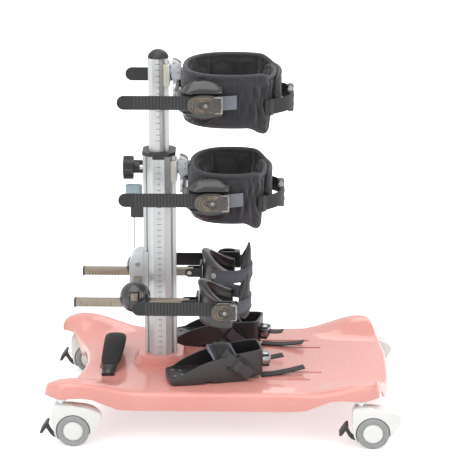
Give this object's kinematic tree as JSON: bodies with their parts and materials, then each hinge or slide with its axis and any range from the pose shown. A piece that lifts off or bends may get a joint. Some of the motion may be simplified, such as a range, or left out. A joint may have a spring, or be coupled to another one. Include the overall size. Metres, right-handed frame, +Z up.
{
  "type": "standing frame",
  "caption": "Child's standing frame: moulded deck on braked castors, telescopic column, tilting chest and hip supports, sliding knee cups and strapped sandals.",
  "frame": {"origin": "on the floor, below the centre of the overall box", "axes": "+Z up, +X to the rear (the child faces -X), -Y to the child's left"},
  "size_m": [0.599, 0.3576, 0.634],
  "materials": {
    "deck_plastic": "smooth moulded, glossy",
    "plate_steel": "zinc plated",
    "column_aluminium": "satin anodised extrusion",
    "black_plastic": "fine grained moulding",
    "key_steel": "drawn steel with a moulded grip",
    "castor_white": "glossy moulding",
    "castor_tyre": "grey tread on a white hub",
    "pedal_grey": "matte moulding",
    "slider_cream": "cream moulding",
    "bracket_metal": "cast and tumbled",
    "pad_fabric": "black padded cloth over foam",
    "strap_plastic": "toothed flexible strap",
    "lever_plastic": "dark smooth lever",
    "webbing": "woven polyester webbing",
    "ball_plastic": "smooth moulded ball",
    "rod_metal": "square tube with a printed scale",
    "cup_plastic": "soft moulded cup",
    "sandal_plastic": "grained moulding",
    "buckle_steel": "plated steel"
  },
  "bodies": {
    "frame": {"base_deck": "deck_plastic", "column_foot": "plate_steel", "lower_column": "column_aluminium", "column_collar": "black_plastic", "tool_holder": "black_plastic", "carry_handle": "black_plastic", "castor_stems": "plate_steel"},
    "upper_post": {"upper_column": "column_aluminium", "column_cap": "black_plastic"},
    "clamp_knob": {"clamp_knob": "black_plastic"},
    "hex_key": {"hex_key": "key_steel"},
    "castor_front_left": {"castor_hood_front_left": "castor_white"},
    "wheels_front_left": {"castor_wheels_front_left": "castor_tyre"},
    "pedal_front_left": {"brake_pedal_front_left": "pedal_grey"},
    "castor_front_right": {"castor_hood_front_right": "castor_white"},
    "wheels_front_right": {"castor_wheels_front_right": "castor_tyre"},
    "pedal_front_right": {"brake_pedal_front_right": "pedal_grey"},
    "castor_rear_left": {"castor_hood_rear_left": "castor_white"},
    "wheels_rear_left": {"castor_wheels_rear_left": "castor_tyre"},
    "pedal_rear_left": {"brake_pedal_rear_left": "pedal_grey"},
    "castor_rear_right": {"castor_hood_rear_right": "castor_white"},
    "wheels_rear_right": {"castor_wheels_rear_right": "castor_tyre"},
    "pedal_rear_right": {"brake_pedal_rear_right": "pedal_grey"},
    "chest_slider": {"chest_slider": "slider_cream"},
    "chest_support": {"chest_quadrant": "bracket_metal", "chest_knuckle": "bracket_metal", "chest_arms": "black_plastic", "chest_pad": "pad_fabric", "chest_ladder_straps": "strap_plastic", "chest_rear_strap": "webbing"},
    "chest_lever_left": {"chest_lever_left": "lever_plastic"},
    "chest_lever_right": {"chest_lever_right": "lever_plastic"},
    "hip_slider": {"hip_slider": "slider_cream"},
    "hip_support": {"hip_quadrant": "bracket_metal", "hip_knuckle": "bracket_metal", "hip_arms": "black_plastic", "hip_pad": "pad_fabric", "hip_ladder_straps": "strap_plastic", "hip_rear_strap": "webbing"},
    "hip_lever_left": {"hip_lever_left": "lever_plastic"},
    "hip_lever_right": {"hip_lever_right": "lever_plastic"},
    "knee_block": {"knee_block": "bracket_metal"},
    "knee_ball_left": {"knee_ball_left": "ball_plastic"},
    "knee_rod_left": {"knee_rod_left": "rod_metal"},
    "knee_cup_left": {"knee_fork_left": "black_plastic", "knee_cup_left": "cup_plastic", "knee_strap_left": "strap_plastic"},
    "knee_lever_left": {"knee_lever_left": "lever_plastic"},
    "sandal_left": {"sandal_shell_left": "sandal_plastic", "sandal_straps_left": "webbing", "sandal_hardware_left": "buckle_steel"},
    "knee_ball_right": {"knee_ball_right": "ball_plastic"},
    "knee_rod_right": {"knee_rod_right": "rod_metal"},
    "knee_cup_right": {"knee_fork_right": "black_plastic", "knee_cup_right": "cup_plastic", "knee_strap_right": "strap_plastic"},
    "knee_lever_right": {"knee_lever_right": "lever_plastic"},
    "sandal_right": {"sandal_shell_right": "sandal_plastic", "sandal_straps_right": "webbing", "sandal_hardware_right": "buckle_steel"}
  },
  "joints": [
    {"name": "column_height", "type": "slide", "parent": "frame", "child": "upper_post", "axis": [0, 0, 1], "range_m": [-0.01, 0.1]},
    {"name": "knob_turn", "type": "hinge", "parent": "frame", "child": "clamp_knob", "pos_m": [-0.15, 0, 0.4315], "axis": [1, 0, 0], "range_deg": [0, 180]},
    {"name": "hex_key_pull", "type": "slide", "parent": "frame", "child": "hex_key", "axis": [-1, 0, 0], "range_m": [0, 0.04]},
    {"name": "castor_swivel_front_left", "type": "hinge", "parent": "frame", "child": "castor_front_left", "pos_m": [-0.2635, -0.1625, 0.06], "axis": [0, 0, 1], "continuous": true},
    {"name": "wheel_spin_front_left", "type": "hinge", "parent": "castor_front_left", "child": "wheels_front_left", "pos_m": [-0.2435, -0.1625, 0.027], "axis": [0, 1, 0], "continuous": true},
    {"name": "brake_press_front_left", "type": "hinge", "parent": "castor_front_left", "child": "pedal_front_left", "pos_m": [-0.2615, -0.1625, 0.017], "axis": [0, -1, 0], "range_deg": [0, 10]},
    {"name": "castor_swivel_front_right", "type": "hinge", "parent": "frame", "child": "castor_front_right", "pos_m": [-0.2635, 0.1625, 0.06], "axis": [0, 0, 1], "continuous": true},
    {"name": "wheel_spin_front_right", "type": "hinge", "parent": "castor_front_right", "child": "wheels_front_right", "pos_m": [-0.2435, 0.1625, 0.027], "axis": [0, 1, 0], "continuous": true},
    {"name": "brake_press_front_right", "type": "hinge", "parent": "castor_front_right", "child": "pedal_front_right", "pos_m": [-0.2615, 0.1625, 0.017], "axis": [0, -1, 0], "range_deg": [0, 10]},
    {"name": "castor_swivel_rear_left", "type": "hinge", "parent": "frame", "child": "castor_rear_left", "pos_m": [0.2325, -0.1625, 0.06], "axis": [0, 0, 1], "continuous": true},
    {"name": "wheel_spin_rear_left", "type": "hinge", "parent": "castor_rear_left", "child": "wheels_rear_left", "pos_m": [0.2525, -0.1625, 0.027], "axis": [0, 1, 0], "continuous": true},
    {"name": "brake_press_rear_left", "type": "hinge", "parent": "castor_rear_left", "child": "pedal_rear_left", "pos_m": [0.2345, -0.1625, 0.017], "axis": [0, -1, 0], "range_deg": [0, 10]},
    {"name": "castor_swivel_rear_right", "type": "hinge", "parent": "frame", "child": "castor_rear_right", "pos_m": [0.2325, 0.1625, 0.06], "axis": [0, 0, 1], "continuous": true},
    {"name": "wheel_spin_rear_right", "type": "hinge", "parent": "castor_rear_right", "child": "wheels_rear_right", "pos_m": [0.2525, 0.1625, 0.027], "axis": [0, 1, 0], "continuous": true},
    {"name": "brake_press_rear_right", "type": "hinge", "parent": "castor_rear_right", "child": "pedal_rear_right", "pos_m": [0.2345, 0.1625, 0.017], "axis": [0, -1, 0], "range_deg": [0, 10]},
    {"name": "chest_height", "type": "slide", "parent": "upper_post", "child": "chest_slider", "axis": [0, 0, 1], "range_m": [-0.02, 0]},
    {"name": "chest_tilt", "type": "hinge", "parent": "chest_slider", "child": "chest_support", "pos_m": [-0.0825, 0, 0.601], "axis": [0, -1, 0], "range_deg": [-6, 10]},
    {"name": "chest_lever_lift_left", "type": "hinge", "parent": "chest_support", "child": "chest_lever_left", "pos_m": [-0.0025, -0.10532, 0.568], "axis": [0, 0, 1], "range_deg": [0, 35]},
    {"name": "chest_lever_lift_right", "type": "hinge", "parent": "chest_support", "child": "chest_lever_right", "pos_m": [-0.0025, 0.10532, 0.568], "axis": [0, 0, -1], "range_deg": [0, 35]},
    {"name": "hip_height", "type": "slide", "parent": "frame", "child": "hip_slider", "axis": [0, 0, 1], "range_m": [-0.03, 0]},
    {"name": "hip_tilt", "type": "hinge", "parent": "hip_slider", "child": "hip_support", "pos_m": [-0.072, 0, 0.437], "axis": [0, -1, 0], "range_deg": [-6, 10]},
    {"name": "hip_lever_lift_left", "type": "hinge", "parent": "hip_support", "child": "hip_lever_left", "pos_m": [0.008, -0.10532, 0.404], "axis": [0, 0, 1], "range_deg": [0, 35]},
    {"name": "hip_lever_lift_right", "type": "hinge", "parent": "hip_support", "child": "hip_lever_right", "pos_m": [0.008, 0.10532, 0.404], "axis": [0, 0, -1], "range_deg": [0, 35]},
    {"name": "knee_height", "type": "slide", "parent": "frame", "child": "knee_block", "axis": [0, 0, 1], "range_m": [-0.02, 0]},
    {"name": "knee_spread_left", "type": "slide", "parent": "knee_block", "child": "knee_ball_left", "axis": [0, 1, 0], "range_m": [-0.005, 0.02]},
    {"name": "knee_reach_left", "type": "slide", "parent": "knee_ball_left", "child": "knee_rod_left", "axis": [1, 0, 0], "range_m": [-0.03, 0.04]},
    {"name": "knee_tilt_left", "type": "hinge", "parent": "knee_rod_left", "child": "knee_cup_left", "pos_m": [-0.06, -0.08, 0.22], "axis": [0, -1, 0], "range_deg": [-6, 12]},
    {"name": "knee_lever_lift_left", "type": "hinge", "parent": "knee_cup_left", "child": "knee_lever_left", "pos_m": [0.021, -0.1353, 0.226], "axis": [0, 0, 1], "range_deg": [0, 35]},
    {"name": "sandal_shift_left", "type": "slide", "parent": "frame", "child": "sandal_left", "axis": [1, 0, 0], "range_m": [-0.02, 0.02]},
    {"name": "knee_spread_right", "type": "slide", "parent": "knee_block", "child": "knee_ball_right", "axis": [0, 1, 0], "range_m": [-0.02, 0.005]},
    {"name": "knee_reach_right", "type": "slide", "parent": "knee_ball_right", "child": "knee_rod_right", "axis": [1, 0, 0], "range_m": [-0.03, 0.04]},
    {"name": "knee_tilt_right", "type": "hinge", "parent": "knee_rod_right", "child": "knee_cup_right", "pos_m": [-0.06, 0.08, 0.22], "axis": [0, -1, 0], "range_deg": [-6, 12]},
    {"name": "knee_lever_lift_right", "type": "hinge", "parent": "knee_cup_right", "child": "knee_lever_right", "pos_m": [0.021, 0.1353, 0.226], "axis": [0, 0, -1], "range_deg": [0, 35]},
    {"name": "sandal_shift_right", "type": "slide", "parent": "frame", "child": "sandal_right", "axis": [1, 0, 0], "range_m": [-0.02, 0.02]}
  ]
}
